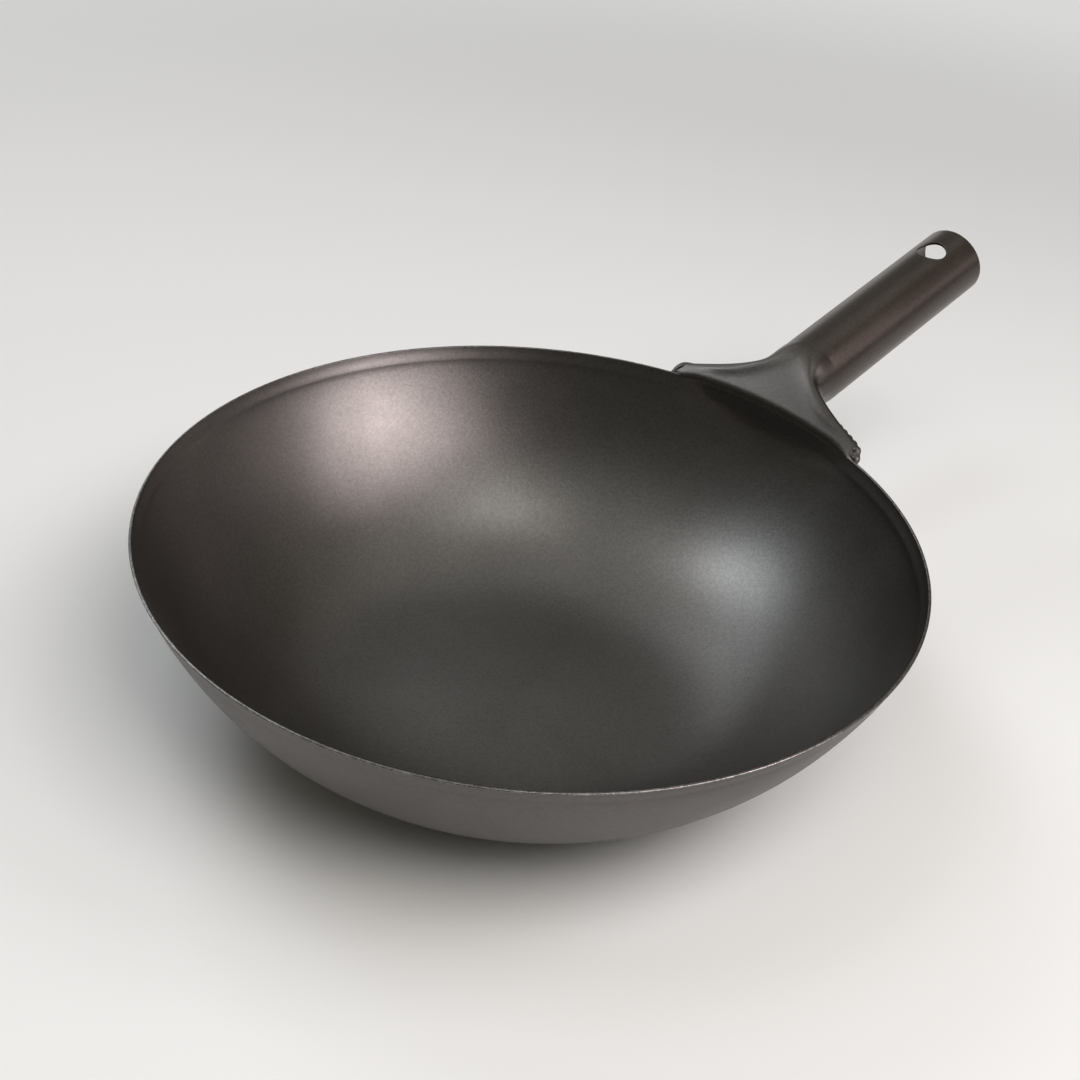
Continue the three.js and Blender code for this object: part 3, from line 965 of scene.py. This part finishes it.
def lit_group(name, pieces):
    group = bpy.data.collections.new(name)
    for piece in pieces:
        group.objects.link(piece)
    return group


floor = add_floor()
add_backdrop()
wok_lit = lit_group("wok lit", PIECES)
floor_lit = lit_group("floor lit", [floor])


def add_lamp(name, azimuth, elevation, distance, size, power, colour, lit=wok_lit):
    """A soft light that looks at the bowl from a direction and lights one group of things."""
    light = bpy.data.lights.new(name, "AREA")
    light.shape = "RECTANGLE"
    light.size, light.size_y = size
    light.energy = power
    light.color = colour
    lamp = bpy.data.objects.new(name, light)
    way = bearing(azimuth, elevation)
    lamp.location = LAMP_AIM + way * distance
    lamp.rotation_mode = "QUATERNION"
    lamp.rotation_quaternion = (-way).to_track_quat("-Z", "Y")
    bpy.context.collection.objects.link(lamp)
    lamp.light_linking.receiver_collection = lit


def add_floor_lamp(name, azimuth, elevation, power, colour):
    add_lamp(name, azimuth, elevation, FLOOR_LAMP_DISTANCE, FLOOR_LAMP_SIZE, power, colour, floor_lit)


# Lamps for the wok: azimuth, elevation, distance, size, power in watts and colour
add_lamp("warm key", 117, 26, 1.3, (0.3, 0.3), 3.45, (1.0, 0.90, 0.94))
add_lamp("warm panel", 120, 35, 1.4, (1.2, 0.8), 13.8, (1.0, 0.896, 0.917))
add_lamp("cool strip low", -64, 34, 1.3, (0.35, 0.3), 0.73, (0.835, 0.92, 1.0))
add_lamp("cool strip middle", -70, 44, 1.3, (0.35, 0.3), 2.72, (0.853, 0.92, 1.0))
add_lamp("cool strip high", -78, 54, 1.3, (0.35, 0.3), 0.45, (1.0, 1.0, 0.98))
add_lamp("top spot", 150, 73, 1.5, (0.5, 0.5), 2.6, (0.99, 1.0, 0.99))
add_lamp("top panel", 0, 88, 1.8, (2.4, 2.4), 11.26, (0.995, 1.0, 0.988))
add_lamp("back panel", 0, 40, 2.2, (2.2, 1.0), 1.6, (1.0, 0.994, 0.994))
add_lamp("back right panel", 55, 40, 2.0, (1.2, 0.8), 0.49, (1.0, 0.88, 0.71))
add_lamp("back left panel", -35, 40, 2.0, (1.2, 0.8), 3.99, (0.85, 0.91, 1.0))
add_lamp("low right panel", 80, 16, 1.8, (0.8, 0.4), 0.89, (1.0, 0.876, 0.90))

# Lamps for the floor
add_floor_lamp("floor front", 180, 60, 3.9, (1.0, 0.976, 0.94))
add_floor_lamp("floor left", -90, 70, 3.8, (0.92, 0.97, 1.0))
add_floor_lamp("floor right", 90, 45, 6.0, (1.0, 0.96, 0.98))
add_lamp("floor front right", 140, 54, 1.7, (1.0, 1.0), 17.2, (1.0, 0.955, 0.935), floor_lit)
add_floor_lamp("floor back left", -45, 45, 5.7, (0.92, 0.93, 1.0))


def add_world():
    """A dim fill from all round, which the camera sees as the floor's pale colour."""
    world = bpy.data.worlds.new("studio")
    world.use_nodes = True
    bpy.context.scene.world = world
    tree = world.node_tree
    fill = tree.nodes["Background"]
    fill.inputs["Color"].default_value = (*WORLD_FILL, 1)
    fill.inputs["Strength"].default_value = 1.0
    seen = tree.nodes.new("ShaderNodeBackground")
    seen.inputs["Color"].default_value = (*FLOOR_PALE, 1)
    choice = tree.nodes.new("ShaderNodeMixShader")
    path = tree.nodes.new("ShaderNodeLightPath")
    tree.links.new(path.outputs["Is Camera Ray"], choice.inputs["Fac"])
    tree.links.new(fill.outputs["Background"], choice.inputs[1])
    tree.links.new(seen.outputs["Background"], choice.inputs[2])
    tree.links.new(choice.outputs["Shader"], tree.nodes["World Output"].inputs["Surface"])


def add_camera():
    """A camera fitted to the rim's ellipse, the handle's sides and the hang hole."""
    camera = bpy.data.cameras.new("camera")
    camera.sensor_width = SENSOR_WIDTH
    camera.lens = SENSOR_WIDTH * FOCAL_PIXELS / PICTURE_WIDTH
    camera.clip_start = CLIP_NEAR
    camera.clip_end = CLIP_FAR
    holder = bpy.data.objects.new("camera", camera)
    ahead = bearing(0, CAMERA_PITCH)
    level = bearing(90, 0)
    upright = level.cross(ahead)
    roll = math.radians(CAMERA_ROLL)
    right = level * math.cos(roll) + upright * math.sin(roll)
    upward = upright * math.cos(roll) - level * math.sin(roll)
    turned = Matrix((right, upward, -ahead)).transposed().to_4x4()
    turned.translation = CAMERA_PLACE
    holder.matrix_world = turned
    bpy.context.collection.objects.link(holder)
    bpy.context.scene.camera = holder


add_world()
add_camera()
bpy.context.scene.view_settings.view_transform = "Standard"
